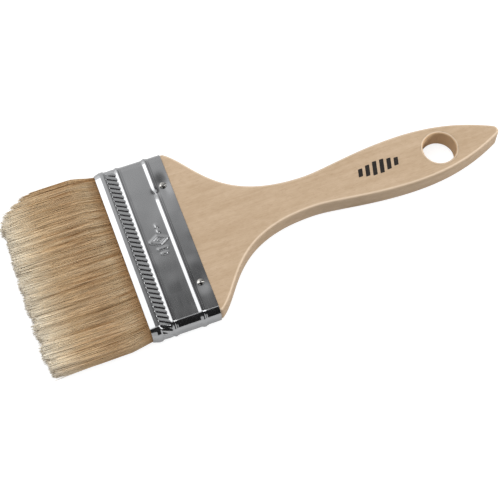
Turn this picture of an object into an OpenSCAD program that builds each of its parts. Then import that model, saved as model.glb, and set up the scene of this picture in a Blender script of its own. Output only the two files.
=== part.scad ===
// Flat natural-bristle chip brush, lying on its back.
// A shaped wooden handle is nailed into a rolled steel ferrule, which also holds a
// pack of bristle set in resin on both sides of a spacer strip.
// Everything is laid out from the middle of the ferrule's mouth: +X runs up the handle,
// +Y across the brush and +Z out of its front. The last lines move it to rest on z = 0.

/* [Ferrule] */
// Overall width of the ferrule across the brush
ferrule_w = 77.8; // [50:0.1:102]
// Thickness of the ferrule over its flat panels
ferrule_t = 10.4; // [8.6:0.1:16]
// Length of the ferrule along the handle
ferrule_l = 28.8; // [24:0.1:40]
// Thickness of the steel sheet
sheet_t = 0.4; // [0.3:0.05:0.6]
// Outside radius of the four long corners
ferrule_corner_r = 3.8; // [1.6:0.1:4]
// Height of the rolled beads above the panels
bead_h = 0.5; // [0.3:0.05:0.8]
// Width of each rolled bead
bead_w = 3.2; // [2:0.1:4]
// Middle of the second bead, from the mouth
mid_bead_x = 9.9; // [9:0.1:12]
// Middle of the third bead, from the ferrule's rear edge
rear_bead_inset = 7; // [6:0.1:9]
// Start of the knurled band, from the mouth
knurl_x = 4.3; // [3.5:0.1:5]
// Width of the knurled band
knurl_w = 3.8; // [3:0.1:4.5]
// Depth of the knurled band below the panels
knurl_depth = 0.25; // [0.1:0.05:0.4]
// Width of the butted seam on the back
seam_w = 0.3; // [0.2:0.05:0.5]
// Depth of the seam's groove
seam_depth = 0.2; // [0.1:0.05:0.25]
// Distance of the seam from the middle of the back
seam_y = 0; // [-15:1:15]

/* [Handle] */
// Length of the handle that shows behind the ferrule
handle_l = 138.2; // [110:0.2:180]
// Depth that the wood enters the ferrule
tongue_l = 9.8; // [8:0.1:12]
// Clearance between the wood's faces and the inside of the ferrule
wood_fit = 0.1; // [0.05:0.05:0.2]
// Clearance between the wood's sides and the inside of the ferrule's rounded ends
wood_side_fit = 1; // [0.8:0.1:2]
// Step down from each face of the handle to the tongue, at the ferrule's rear edge
tongue_step = 0.1; // [0.05:0.05:0.5]
// Radius of the two shoulders beside the ferrule
shoulder_r = 2; // [1:0.1:4]
// Slope of the flanks just past the shoulders, from the handle's length
shoulder_slope = 38; // [35:0.5:50]
// Width of the neck at its narrowest
neck_w = 14.8; // [12:0.1:24]
// Narrowest point of the neck, from the ferrule's rear edge
neck_x = 52.2; // [42:0.1:64]
// Width of the paddle at its widest
paddle_w = 23; // [19:0.1:34]
// Widest point of the paddle, from the ferrule's rear edge
paddle_x = 96.2; // [86:0.1:100]
// Radius of the blunt tip
tip_r = 2.4; // [2:0.1:4]
// Angle between the tip's two sides
tip_angle = 52; // [40:1:70]
// Rounding of the handle's long edges
edge_r = 0.9; // [0.5:0.1:1.9]
// Radius of the hang hole
hang_hole_r = 7.1; // [5:0.1:8]
// Middle of the hang hole, from the tip
hang_hole_inset = 26.9; // [22:0.1:32]
// Chamfer round both ends of the hang hole
hang_hole_chamfer = 0.6; // [0.2:0.1:1]

/* [Nails] */
// Radius of a nail's domed head
nail_head_r = 1.5; // [1:0.1:2]
// Height of the head above the sheet
nail_head_h = 0.7; // [0.4:0.05:1]
// Radius of the shank
nail_shank_r = 0.7; // [0.5:0.05:0.9]
// Length of the shank with its point
nail_l = 7; // [5:0.1:7.5]
// Length of the point
nail_point_l = 1.4; // [1:0.1:2]
// Clearance round the shank in the sheet and the wood
nail_fit = 0.03; // [0.02:0.01:0.1]
// Distance of the nails from the ferrule's rear edge
nail_inset = 3.3; // [2.5:0.1:3.8]
// Distance of the front nails from the brush's middle
nail_y = 23.3; // [12:0.1:24]
// Step inwards of the back nails, so that the shanks pass each other
nail_stagger = 5; // [4:0.1:8]

/* [Bristle] */
// Length of bristle that shows in front of the ferrule
trim_l = 43; // [34:0.5:64]
// Widening of the bristle on each side, halfway along the trim
flare_y = 1.4; // [0:0.1:3]
// Thickening of the bristle on each face, halfway along the trim
flare_z = 0.5; // [0:0.1:1]
// Amount that the tips curve in from the widest line on each side
tip_round_y = 6; // [2:0.1:10]
// Length of that curve along the bristle
tip_round_l = 9; // [4:0.1:12]
// Clearance between the bristle pack and the narrowest inside of the ferrule
pack_fit = 0.05; // [0.03:0.01:0.2]
// Thickness of the spacer strip between the two layers of bristle
spacer_t = 2; // [1:0.1:3]
// Distance of the spacer's front edge inside the mouth
spacer_inset = 2.5; // [1:0.1:5]
// Margin between the spacer's ends and the sides of the pack
spacer_margin = 3; // [2:0.1:8]
// Depth of the resin that holds the bristle's root ends
resin_l = 5.5; // [4:0.1:6]
// Gap between the resin and the wood
resin_gap = 0.2; // [0.1:0.1:0.5]

/* [Flexing] */
// Line that the free bristle bends about, in front of the mouth
flex_x = 6.3; // [5.8:0.1:9]
// Furthest bend each way, in degrees
flex_max = 30; // [10:1:40]
// Clearance between the still and the bending bristle
flex_fit = 0.3; // [0.2:0.05:0.5]

/* [Hidden] */
$fn = 64;
eps = 0.01;

// Ferrule: the inside that everything else fits
bore_w = ferrule_w - 2 * sheet_t;
bore_t = ferrule_t - 2 * sheet_t;
rear_bead_x = ferrule_l - rear_bead_inset;
nail_x = ferrule_l - nail_inset;

// Handle: the tongue fits the ferrule's bore, and the rest follows the tongue
tongue_t = bore_t - 2 * wood_fit;
handle_t = tongue_t + 2 * tongue_step;
tongue_x = ferrule_l - tongue_l;
tongue_half_w = bore_w / 2 - wood_side_fit;
tongue_corner_r = ferrule_corner_r - sheet_t - wood_fit;
tip_x = ferrule_l + handle_l;
hang_hole_x = tip_x - hang_hole_inset;

// Bristle pack: it clears the knurled band, the narrowest part of the bore
pack_half_t = bore_t / 2 - knurl_depth - pack_fit;
pack_half_w = bore_w / 2 - knurl_depth - pack_fit;
pack_corner_r = ferrule_corner_r - sheet_t;
resin_rear_x = tongue_x - resin_gap;
root_rear_x = resin_rear_x - resin_l;
// Angle by which a face of the free bristle leans out from the root
flare_angle = atan2(flare_z, trim_l / 2 - flex_x);
// The roots stop where the bent bristle's faces would reach them
root_front_x = -flex_x + pack_half_t * sin(flex_max + flare_angle) + flex_fit;

// The ground touches whichever stands out furthest at the back
ground_z = ferrule_t / 2 + max(bead_h, nail_head_h);
middle_x = (tip_x - trim_l) / 2;

steel = [0.72, 0.72, 0.73];
nail_steel = [0.80, 0.79, 0.77];
wood = [0.80, 0.68, 0.53];
resin = [0.78, 0.62, 0.35];
spacer = [0.74, 0.62, 0.46];
bristle = [0.72, 0.60, 0.43];

// Points of a cubic curve from a to d, with handles b and c; the first point is left out
function curve(a, b, c, d, steps) =
    [for (i = [1:steps]) let (t = i / steps, u = 1 - t)
        u * u * u * a + 3 * u * u * t * b + 3 * u * t * t * c + t * t * t * d];

// Points of an arc about c, from angle a0 to a1; the first point is left out
function arc(c, r, a0, a1, steps) =
    [for (i = [1:steps]) let (a = a0 + (a1 - a0) * i / steps) c + r * [cos(a), sin(a)]];

function mirrored_back(points) =
    [for (i = [len(points) - 1:-1:0]) [points[i][0], -points[i][1]]];

// One side of the handle, from the tongue's end to the tip, on the +Y side
function handle_side() =
    let (
        shoulder_c = [ferrule_l + 0.4, tongue_half_w - shoulder_r],
        shoulder_end = shoulder_c + shoulder_r * [sin(shoulder_slope), cos(shoulder_slope)],
        neck = [ferrule_l + neck_x, neck_w / 2],
        paddle = [ferrule_l + paddle_x, paddle_w / 2],
        tip_c = [tip_x - tip_r, 0],
        tip_start = tip_c + tip_r * [sin(tip_angle / 2), cos(tip_angle / 2)],
        flank = neck[0] - shoulder_end[0],
        waist = paddle[0] - neck[0],
        nose = tip_start[0] - paddle[0]
    )
    concat(
        [[tongue_x, tongue_half_w], shoulder_c + [0, shoulder_r]],
        arc(shoulder_c, shoulder_r, 90, 90 - shoulder_slope, 4),
        curve(shoulder_end,
              shoulder_end + 0.26 * flank * [cos(shoulder_slope), -sin(shoulder_slope)],
              neck - [0.73 * flank, 0], neck, 16),
        curve(neck, neck + [0.21 * waist, 0], paddle - [0.44 * waist, 0], paddle, 10),
        curve(paddle, paddle + [0.5 * nose, 0],
              tip_start + 0.22 * nose * [-cos(tip_angle / 2), sin(tip_angle / 2)],
              tip_start, 10),
        arc(tip_c, tip_r, 90 - tip_angle / 2, 0, 4)
    );

// Closed outline of the handle, clockwise from the tongue's +Y corner
function handle_outline() =
    let (side = handle_side())
    concat(side, [for (p = mirrored_back(side)) if (p[0] < tip_x - eps) p]);

// The outline moved inwards by d, keeping one point for each of its points
function inset(points, d) =
    let (n = len(points))
    [for (i = [0:n - 1])
        let (
            before = points[i] - points[(i + n - 1) % n],
            after = points[(i + 1) % n] - points[i],
            na = [before[1], -before[0]] / norm(before),
            nb = [after[1], -after[0]] / norm(after)
        )
        points[i] + d * (na + nb) / (1 + na * nb)];

// A plate whose edges are rounded by r. Its outline runs from one end along the +Y side to
// the tip and back along the -Y side, so each face is a ladder of quads between the sides.
module rounded_plate(outline, thickness, r) {
    n = len(outline);
    tip = (n - 1) / 2;
    quarter = [0, 30, 60, 90];
    rings = concat(
        [for (a = quarter) [thickness / 2 - r + r * cos(a), r * (1 - sin(a))]],
        [for (a = quarter) [-thickness / 2 + r - r * sin(a), r * (1 - cos(a))]]
    );
    last = (len(rings) - 1) * n;
    points = [for (ring = rings) for (p = inset(outline, ring[1])) [p[0], p[1], ring[0]]];
    sides = [for (k = [0:n:last - n]) for (i = [0:n - 1])
        let (j = (i + 1) % n) [k + j, k + i, k + n + i, k + n + j]];
    ladder = concat([for (i = [0:tip - 2]) [i, i + 1, n - 2 - i, n - 1 - i]],
                    [[tip - 1, tip, tip + 1]]);
    back = [for (rung = ladder) [for (i = [len(rung) - 1:-1:0]) last + rung[i]]];
    polyhedron(points = points, faces = concat(ladder, back, sides), convexity = 4);
}

// Turns a shape drawn across (X) and through (Y) the brush so that its Z runs along +X
module lengthwise() {
    rotate([90, 0, 90]) children();
}

// A box along the brush from x0 to x1, with its four long edges rounded
module rounded_bar(x0, x1, half_w, half_t, r) {
    translate([x0, 0, 0]) lengthwise() linear_extrude(x1 - x0) {
        square([2 * half_w - 2 * r, 2 * half_t], center = true);
        square([2 * half_w, 2 * half_t - 2 * r], center = true);
        for (sx = [-1, 1], sy = [-1, 1])
            translate([sx * (half_w - r), sy * (half_t - r)]) circle(r);
    }
}

// Points over one bead: [distance from the mouth, height over the panels]
function bead(middle) =
    [for (a = [180:-30:0]) [middle + bead_w / 2 * cos(a), bead_h * sin(a)]];

// Height of the sheet over the panels, from the mouth to the rear edge
function sheet_line() = concat(
    bead(bead_w / 2),
    [[knurl_x, 0], [knurl_x + knurl_depth, -knurl_depth],
     [knurl_x + knurl_w - knurl_depth, -knurl_depth], [knurl_x + knurl_w, 0]],
    bead(mid_bead_x),
    bead(rear_bead_x),
    [[ferrule_l, 0]]
);

// Section through the sheet, as [distance from the corner's axis, distance from the mouth]
module sheet_section() {
    line = sheet_line();
    outer = [for (p = line) [ferrule_corner_r + p[1], p[0]]];
    inner = [for (i = [len(line) - 1:-1:0])
        [ferrule_corner_r - sheet_t + line[i][1], line[i][0]]];
    polygon(concat(outer, inner));
}

// One flat wall of the ferrule, facing +Y, with its corner at the +X end
module wall_and_corner(half_run, half_depth) {
    axis_x = half_run - ferrule_corner_r;
    axis_y = half_depth - ferrule_corner_r;
    translate([-axis_x, axis_y, 0]) rotate([90, 0, 90])
        linear_extrude(2 * axis_x) sheet_section();
    translate([axis_x, axis_y, 0]) rotate_extrude(angle = 90) sheet_section();
}

// Shank of a nail that points down from z = 0
module shank(grow) {
    translate([0, 0, -nail_l + nail_point_l])
        cylinder(r = nail_shank_r + grow, h = nail_l - nail_point_l + sheet_t);
    translate([0, 0, -nail_l])
        cylinder(r1 = 0.1, r2 = nail_shank_r + grow, h = nail_point_l);
}

// Puts a nail's children on a face: side is 1 for the front and -1 for the back
module at_nail(side, y) {
    mirror([0, 0, side > 0 ? 0 : 1])
        translate([nail_x, y, bore_t / 2]) children();
}

function nail_places() = [
    [1, nail_y], [1, -nail_y],
    [-1, nail_y - nail_stagger], [-1, nail_stagger - nail_y]
];

module nail(side, y) {
    dome_r = (nail_head_r * nail_head_r + nail_head_h * nail_head_h) / (2 * nail_head_h);
    color(nail_steel) at_nail(side, y) {
        shank(0);
        translate([0, 0, sheet_t]) intersection() {
            translate([0, 0, nail_head_h - dome_r]) sphere(dome_r);
            cylinder(r = nail_head_r, h = nail_head_h);
        }
    }
}

module nail_front_left() { nail(1, -nail_y); }
module nail_front_right() { nail(1, nail_y); }
module nail_back_left() { nail(-1, nail_stagger - nail_y); }
module nail_back_right() { nail(-1, nail_y - nail_stagger); }

module handle() {
    color(wood) difference() {
        rounded_plate(handle_outline(), handle_t, edge_r);
        translate([hang_hole_x, 0, -handle_t]) cylinder(r = hang_hole_r, h = 2 * handle_t);
        for (side = [-1, 1])
            translate([hang_hole_x, 0, side * handle_t / 2]) cylinder(
                r1 = hang_hole_r + (side < 0 ? 2 : 0) * hang_hole_chamfer,
                r2 = hang_hole_r + (side > 0 ? 2 : 0) * hang_hole_chamfer,
                h = 2 * hang_hole_chamfer, center = true);
        for (place = nail_places()) at_nail(place[0], place[1]) shank(nail_fit);
        // The tongue is cut down to a rounded bar that clears the inside of the ferrule
        difference() {
            translate([0, -ferrule_w, -ferrule_t]) cube([ferrule_l, 2 * ferrule_w, 2 * ferrule_t]);
            rounded_bar(-1, ferrule_l + 1, tongue_half_w, tongue_t / 2, tongue_corner_r);
        }
    }
}

module ferrule() {
    color(steel) difference() {
        lengthwise() for (turn = [0, 180]) {
            rotate([0, 0, turn]) wall_and_corner(ferrule_w / 2, ferrule_t / 2);
            rotate([0, 0, turn + 90]) wall_and_corner(ferrule_t / 2, ferrule_w / 2);
        }
        for (place = nail_places())
            at_nail(place[0], place[1])
                translate([0, 0, -eps]) cylinder(r = nail_shank_r + nail_fit, h = 1);
        // The seam is a groove in the back, seam_depth below the panels
        translate([-eps, seam_y - seam_w / 2, -ferrule_t / 2 - 1])
            cube([ferrule_l + 2 * eps, seam_w, 1 + seam_depth]);
    }
}

module resin_setting() {
    color(resin)
        rounded_bar(root_rear_x, resin_rear_x, pack_half_w, pack_half_t, pack_corner_r);
}

module spacer_strip() {
    color(spacer)
        translate([spacer_inset, -pack_half_w + spacer_margin, -spacer_t / 2])
            cube([root_rear_x - spacer_inset, 2 * (pack_half_w - spacer_margin), spacer_t]);
}

// Keeps the front (side 1) or the back (side -1) of its children
module one_face(side) {
    big = ferrule_w + handle_l;
    intersection() {
        children();
        translate([-big, -big, side > 0 ? 0 : -big]) cube([2 * big, 2 * big, big]);
    }
}

// Half of the bristle that stays still, hollowed at its front for the bending bristle
module bristle_roots(side) {
    color(bristle) one_face(side) difference() {
        rounded_bar(root_front_x, root_rear_x, pack_half_w, pack_half_t, pack_corner_r);
        translate([spacer_inset, -pack_half_w + spacer_margin, -spacer_t / 2])
            cube([root_rear_x, 2 * (pack_half_w - spacer_margin), spacer_t]);
        translate([-flex_x, ferrule_w, 0]) rotate([90, 0, 0])
            cylinder(r = pack_half_t + flex_fit, h = 2 * ferrule_w);
    }
}

module bristle_roots_front() { bristle_roots(1); }
module bristle_roots_back() { bristle_roots(-1); }

// Outline of the free bristle seen from the front
module trim_outline() {
    widest = pack_half_w + flare_y;
    corner = curve([-trim_l + tip_round_l, widest],
                   [-trim_l + tip_round_l / 2, widest],
                   [-trim_l, widest - tip_round_y / 2],
                   [-trim_l, widest - tip_round_y], 8);
    side = concat([[0, pack_half_w], [-flex_x, pack_half_w], [-trim_l / 2, widest],
                   [-trim_l + tip_round_l, widest]], corner);
    polygon(concat(side, mirrored_back(side)));
}

// Profile of the free bristle seen from the side, behind its round root
module trim_profile() {
    thickest = pack_half_t + flare_z;
    side = [[-flex_x, pack_half_t], [-trim_l / 2, thickest],
            [-trim_l + tip_round_l, thickest], [-trim_l, pack_half_t - flare_z]];
    polygon(concat(side, mirrored_back(side)));
    translate([-flex_x, 0]) circle(pack_half_t);
}

// Half of the bristle that bends, as one solid
module bristles(side) {
    color(bristle) one_face(side) intersection() {
        translate([0, 0, -ferrule_t]) linear_extrude(2 * ferrule_t) trim_outline();
        translate([0, ferrule_w, 0]) rotate([90, 0, 0])
            linear_extrude(2 * ferrule_w) trim_profile();
    }
}

module bristles_front() { bristles(1); }
module bristles_back() { bristles(-1); }

module placed() {
    translate([-middle_x, 0, ground_z]) children();
}

placed() handle();
placed() ferrule();
placed() nail_front_left();
placed() nail_front_right();
placed() nail_back_left();
placed() nail_back_right();
placed() resin_setting();
placed() spacer_strip();
placed() bristle_roots_front();
placed() bristle_roots_back();
placed() bristles_front();
placed() bristles_back();
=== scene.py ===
"""Looks of a flat bristle chip brush with a wooden handle and a rolled steel ferrule.

Lengths are in millimetres, measured as in the CAD part from the middle of the ferrule's mouth:
x up the handle, y across the brush and z out of its front. place() turns them into metres in
the shared frame.
"""

import math

import bmesh
import bpy
import numpy as np
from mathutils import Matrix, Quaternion, Vector
from mathutils.geometry import delaunay_2d_cdt


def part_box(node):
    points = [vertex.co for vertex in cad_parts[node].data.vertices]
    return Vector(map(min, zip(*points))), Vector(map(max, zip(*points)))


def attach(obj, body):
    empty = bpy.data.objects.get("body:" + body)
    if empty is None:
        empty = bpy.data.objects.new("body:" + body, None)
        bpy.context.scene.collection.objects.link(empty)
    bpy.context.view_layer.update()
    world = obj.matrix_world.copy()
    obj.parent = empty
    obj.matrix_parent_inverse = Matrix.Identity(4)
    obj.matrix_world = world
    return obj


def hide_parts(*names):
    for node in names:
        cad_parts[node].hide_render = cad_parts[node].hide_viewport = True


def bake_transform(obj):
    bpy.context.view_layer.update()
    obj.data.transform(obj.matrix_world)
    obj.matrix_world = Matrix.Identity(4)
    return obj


SEED = 20

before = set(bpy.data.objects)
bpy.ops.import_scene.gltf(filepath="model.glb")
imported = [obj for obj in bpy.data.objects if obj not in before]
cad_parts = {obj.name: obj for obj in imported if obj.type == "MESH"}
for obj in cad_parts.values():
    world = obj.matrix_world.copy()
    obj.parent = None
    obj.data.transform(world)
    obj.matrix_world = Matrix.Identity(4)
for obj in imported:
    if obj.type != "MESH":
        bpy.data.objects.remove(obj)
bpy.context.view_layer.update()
FERRULE_LOW, FERRULE_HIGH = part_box("ferrule")
MM = 0.001
ORIGIN = np.array([FERRULE_LOW.x, 0.0, (FERRULE_LOW.z + FERRULE_HIGH.z) / 2])

# ---------------------------------------------------------------- sizes, mm
FERRULE_L = 28.8
FERRULE_HALF_W = 38.9
FERRULE_HALF_T = 5.2
SHEET_T = 0.4
CORNER_R = 3.8

HANDLE_HALF_T = 4.8
TONGUE_HALF_T = 4.7
TONGUE_HALF_W = 37.5
TONGUE_X = 19.0
TONGUE_CORNER_R = 3.3
EDGE_R = 0.9
SHOULDER_R = 2.0
SHOULDER_GAP = 0.4
SHOULDER_SLOPE = math.radians(38)
# the neck and the paddle: x, and half the width there
NECK = (81.0, 7.4)
PADDLE = (125.0, 11.5)
# how far each curve of the side is pulled along its two ends, as shares of its length
FLANK_PULLS = (0.26, 0.73)
WAIST_PULLS = (0.21, 0.44)
NOSE_PULLS = (0.5, 0.22)
TIP_X = 167.0
TIP_R = 2.4
TIP_HALF_ANGLE = math.radians(26)
HOLE_X = 140.1
HOLE_R = 7.1
HOLE_RIM_R = 0.8
HOLE_STEPS = 72

NAIL_X = 25.5
FRONT_NAIL_Y = 23.3
BACK_NAIL_Y = 18.3
NAIL_HEAD_R = 1.5
NAIL_HEAD_H = 0.7

PACK_HALF_W = 38.1
PACK_HALF_T = 4.42
PACK_CORNER_R = 3.2
TRIM_L = 42.9
ROOT_X = 13.2


# ---------------------------------------------------------------- mesh helpers
def place(points):
    """Points from the mouth, in mm, as points of the shared frame, in metres."""
    return np.asarray(points, float) * MM + ORIGIN


def smooth_step(value, low, high):
    """0 up to low and 1 from high, with a smooth change between."""
    t = np.clip((np.asarray(value, float) - low) / (high - low), 0, 1)
    return t * t * (3 - 2 * t)


def lattice_noise(x, y, seed):
    """Smooth random values from -1 to 1 over a plane, with one knot per unit."""
    table = np.random.default_rng(seed).uniform(-1, 1, (256, 256))
    x_low = np.floor(x).astype(int)
    y_low = np.floor(y).astype(int)
    u = x - x_low
    v = y - y_low
    u = u * u * (3 - 2 * u)
    v = v * v * (3 - 2 * v)
    x_high = (x_low + 1) % 256
    y_high = (y_low + 1) % 256
    x_low = x_low % 256
    y_low = y_low % 256
    near = table[x_low, y_low] * (1 - u) + table[x_high, y_low] * u
    far = table[x_low, y_high] * (1 - u) + table[x_high, y_high] * u
    return near * (1 - v) + far * v


def new_object(name, data):
    obj = bpy.data.objects.new(name, data)
    bpy.context.scene.collection.objects.link(obj)
    return obj


def mesh_from_arrays(name, points, faces):
    """A smooth mesh whose faces all have the same number of corners; points are in mm."""
    mesh = bpy.data.meshes.new(name)
    corners = faces.shape[1]
    mesh.vertices.add(len(points))
    mesh.vertices.foreach_set("co", place(points).astype(np.float32).ravel())
    mesh.loops.add(faces.size)
    mesh.loops.foreach_set("vertex_index", faces.astype(np.int32).ravel())
    mesh.polygons.add(len(faces))
    mesh.polygons.foreach_set("loop_start", np.arange(len(faces), dtype=np.int32) * corners)
    mesh.update(calc_edges=True)
    mesh.shade_smooth()
    return mesh


def mesh_from_lists(name, points, faces):
    """A smooth mesh from lists of points, in mm, and faces."""
    mesh = bpy.data.meshes.new(name)
    mesh.from_pydata([tuple(p) for p in place(points)], [], faces)
    mesh.update(calc_edges=True)
    mesh.shade_smooth()
    return mesh


def add_attribute(mesh, name, values):
    attribute = mesh.attributes.new(name, "FLOAT", "POINT")
    attribute.data.foreach_set("value", values.astype(np.float32).ravel())


def grid_faces(rows, columns, wrap_rows=False, wrap_columns=False):
    """Quads of a grid whose vertices run along a row first."""
    r = np.arange(rows if wrap_rows else rows - 1)
    c = np.arange(columns if wrap_columns else columns - 1)
    r, c = (a.ravel() for a in np.meshgrid(r, c, indexing="ij"))
    r_next = (r + 1) % rows
    c_next = (c + 1) % columns
    return np.stack(
        [r * columns + c, r * columns + c_next, r_next * columns + c_next, r_next * columns + c], 1
    )


def face_outwards(mesh):
    """Turns every face of a closed mesh outwards."""
    work = bmesh.new()
    work.from_mesh(mesh)
    bmesh.ops.recalc_face_normals(work, faces=work.faces)
    work.to_mesh(mesh)
    work.free()
    mesh.shade_smooth()


def finish_piece(obj, material):
    """Gives a piece its material and fixes it to the still body."""
    obj.data.materials.append(material)
    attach(obj, "brush_body")


# ---------------------------------------------------------------- node helpers
class Nodes:
    """Short calls that add nodes to a tree. A value may be a number or a socket."""

    def __init__(self, tree):
        self.tree = tree
        tree.nodes.clear()

    def add(self, kind, **settings):
        node = self.tree.nodes.new(kind)
        for key, value in settings.items():
            setattr(node, key, value)
        return node

    def put(self, socket, value):
        if isinstance(value, bpy.types.NodeSocket):
            self.tree.links.new(value, socket)
        else:
            socket.default_value = value

    def math(self, operation, a, b=0.0):
        node = self.add("ShaderNodeMath", operation=operation)
        self.put(node.inputs[0], a)
        self.put(node.inputs[1], b)
        return node.outputs[0]

    def step(self, value, low, high, first=0.0, last=1.0):
        """first up to low and last from high, with a smooth change between."""
        node = self.add("ShaderNodeMapRange", interpolation_type="SMOOTHSTEP")
        self.put(node.inputs["Value"], value)
        self.put(node.inputs["From Min"], low)
        self.put(node.inputs["From Max"], high)
        self.put(node.inputs["To Min"], first)
        self.put(node.inputs["To Max"], last)
        return node.outputs["Result"]

    def mix(self, factor, a, b, blend="MIX"):
        node = self.add("ShaderNodeMix", data_type="RGBA", blend_type=blend)
        self.put(node.inputs["Factor"], factor)
        self.put(node.inputs["A"], a)
        self.put(node.inputs["B"], b)
        return node.outputs["Result"]

    def product(self, *values):
        result = values[0]
        for value in values[1:]:
            result = self.math("MULTIPLY", result, value)
        return result

    def weighted_sum(self, *parts):
        """The sum of (value, weight) pairs."""
        terms = [self.math("MULTIPLY", value, weight) for value, weight in parts]
        result = terms[0]
        for term in terms[1:]:
            result = self.math("ADD", result, term)
        return result

    def noise(self, vector, detail=2.0, roughness=0.5, distortion=0.0):
        node = self.add("ShaderNodeTexNoise", noise_dimensions="3D")
        self.put(node.inputs["Vector"], vector)
        node.inputs["Scale"].default_value = 1.0
        node.inputs["Detail"].default_value = detail
        node.inputs["Roughness"].default_value = roughness
        node.inputs["Distortion"].default_value = distortion
        return node.outputs["Fac"]

    def ramp(self, factor, stops):
        node = self.add("ShaderNodeValToRGB")
        elements = node.color_ramp.elements
        elements[0].position = stops[0][0]
        elements[1].position = stops[-1][0]
        for position, _ in stops[1:-1]:
            elements.new(position)
        for element, (_, color) in zip(elements, stops):
            element.color = (*color, 1)
        self.put(node.inputs["Fac"], factor)
        return node.outputs["Color"]

    def object_mm(self, stretch):
        """The object's own coordinates in mm, multiplied along each axis."""
        source = self.add("ShaderNodeTexCoord").outputs["Object"]
        node = self.add("ShaderNodeMapping", vector_type="POINT")
        self.put(node.inputs["Vector"], source)
        node.inputs["Scale"].default_value = [s / MM for s in stretch]
        return node.outputs["Vector"]

    def attribute(self, name):
        node = self.add("ShaderNodeAttribute", attribute_type="GEOMETRY", attribute_name=name)
        return node.outputs["Fac"]

    def bump(self, height, distance_mm, strength):
        node = self.add("ShaderNodeBump")
        node.inputs["Strength"].default_value = strength
        node.inputs["Distance"].default_value = distance_mm * MM
        self.put(node.inputs["Height"], height)
        return node.outputs["Normal"]


def principled(name, **settings):
    """A new material, its node helper and its Principled shader, with plain values set on it."""
    material = bpy.data.materials.new(name)
    material.use_nodes = True
    nodes = Nodes(material.node_tree)
    shader = nodes.add("ShaderNodeBsdfPrincipled")
    output = nodes.add("ShaderNodeOutputMaterial")
    nodes.put(output.inputs["Surface"], shader.outputs["BSDF"])
    for key, value in settings.items():
        shader.inputs[key.replace("_", " ")].default_value = value
    return material, nodes, shader


# ---------------------------------------------------------------- materials
# painted highlight: the pale colour laid along the handle's rounded edges and the hole's rims
EDGE_HIGHLIGHT_WOOD = (0.80, 0.66, 0.51)


def wood_material(name, light, dark, fleck, bore_tint_and_light):
    """Pale close-grained wood: cloudy bands, fine fibres and short dark flecks.

    Its rounded edges and the hole's rims carry a painted highlight, a paler band, and the hole's wall is
    a warmer brown, painted lighter to stand in for light that its shade keeps off.
    """
    material, nodes, shader = principled(name, Specular_IOR_Level=0.35)
    clouds = nodes.noise(nodes.object_mm((0.03, 0.07, 0.07)), detail=3.0, distortion=0.6)
    bands = nodes.noise(nodes.object_mm((0.02, 0.45, 0.3)), detail=2.0, distortion=0.9)
    fibres = nodes.noise(nodes.object_mm((0.22, 4.5, 4.5)), detail=3.0, roughness=0.6)
    pores = nodes.noise(nodes.object_mm((0.5, 3.4, 3.4)), detail=1.0)
    mottle = nodes.noise(nodes.object_mm((0.35, 0.7, 0.7)), detail=3.0, roughness=0.65)
    tone = nodes.weighted_sum(
        (nodes.step(clouds, 0.3, 0.7), 0.25),
        (nodes.step(bands, 0.25, 0.75), 0.3),
        (nodes.step(mottle, 0.3, 0.7), 0.25),
        (nodes.step(fibres, 0.3, 0.7), 0.2),
    )
    color = nodes.mix(tone, (*dark, 1), (*light, 1))
    specks = nodes.math("MULTIPLY", nodes.step(pores, 0.62, 0.76), 0.3)
    color = nodes.mix(specks, color, (*fleck, 1))
    # painted highlight along the rounded edges and the hole's rims
    edge = nodes.math("MULTIPLY", nodes.attribute("painted_edge_highlight"), 0.55)
    color = nodes.mix(edge, color, (*EDGE_HIGHLIGHT_WOOD, 1))
    # the hole's wall: a warmer brown, made lighter as painted light where the hole's shade falls
    wall = nodes.math("MULTIPLY", nodes.attribute("bore_tint_and_light"), 0.75)
    color = nodes.mix(wall, color, (*bore_tint_and_light, 1))
    nodes.put(shader.inputs["Base Color"], color)
    nodes.put(shader.inputs["Roughness"], nodes.step(fibres, 0.2, 0.8, 0.62, 0.5))
    relief = nodes.math("SUBTRACT", fibres, nodes.math("MULTIPLY", specks, 0.8))
    nodes.put(shader.inputs["Normal"], nodes.bump(relief, 0.05, 0.6))
    return material


def steel_material(name, color, rough_low, rough_high):
    """Bright rolled sheet: a little uneven, with faint rolling lines along the brush's width."""
    material, nodes, shader = principled(name, Metallic=1.0)
    patches = nodes.noise(nodes.object_mm((0.12, 0.05, 0.12)), detail=3.0, distortion=0.4)
    lines = nodes.noise(nodes.object_mm((3.5, 0.12, 3.5)), detail=2.0)
    dull = tuple(c * 0.9 for c in color)
    nodes.put(shader.inputs["Base Color"], nodes.mix(patches, (*dull, 1), (*color, 1)))
    mixed = nodes.weighted_sum((patches, 0.6), (lines, 0.4))
    nodes.put(shader.inputs["Roughness"], nodes.step(mixed, 0.25, 0.75, rough_low, rough_high))
    nodes.put(shader.inputs["Normal"], nodes.bump(lines, 0.004, 0.5))
    return material


# the bristle's colour at shares of its length, from the mouth to the tip
BRISTLE_COLORS = (
    (0.0, (0.48, 0.36, 0.23)),
    (0.12, (0.56, 0.44, 0.30)),
    (0.35, (0.56, 0.41, 0.26)),
    (0.65, (0.65, 0.505, 0.335)),
    (0.85, (0.80, 0.70, 0.54)),
    (1.0, (0.92, 0.87, 0.76)),
)
DARK_STRAND = (0.76, 0.65, 0.50)
PALE_STRAND = (1.08, 1.07, 1.03)
BROWN_STRAND = (0.27, 0.12, 0.045)
# painted shade: the dark colour that stands in for shadow in the creases, inside the pack and at the
# ferrule's lip
BRISTLE_PAINTED_SHADE = (0.34, 0.17, 0.06)


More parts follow.
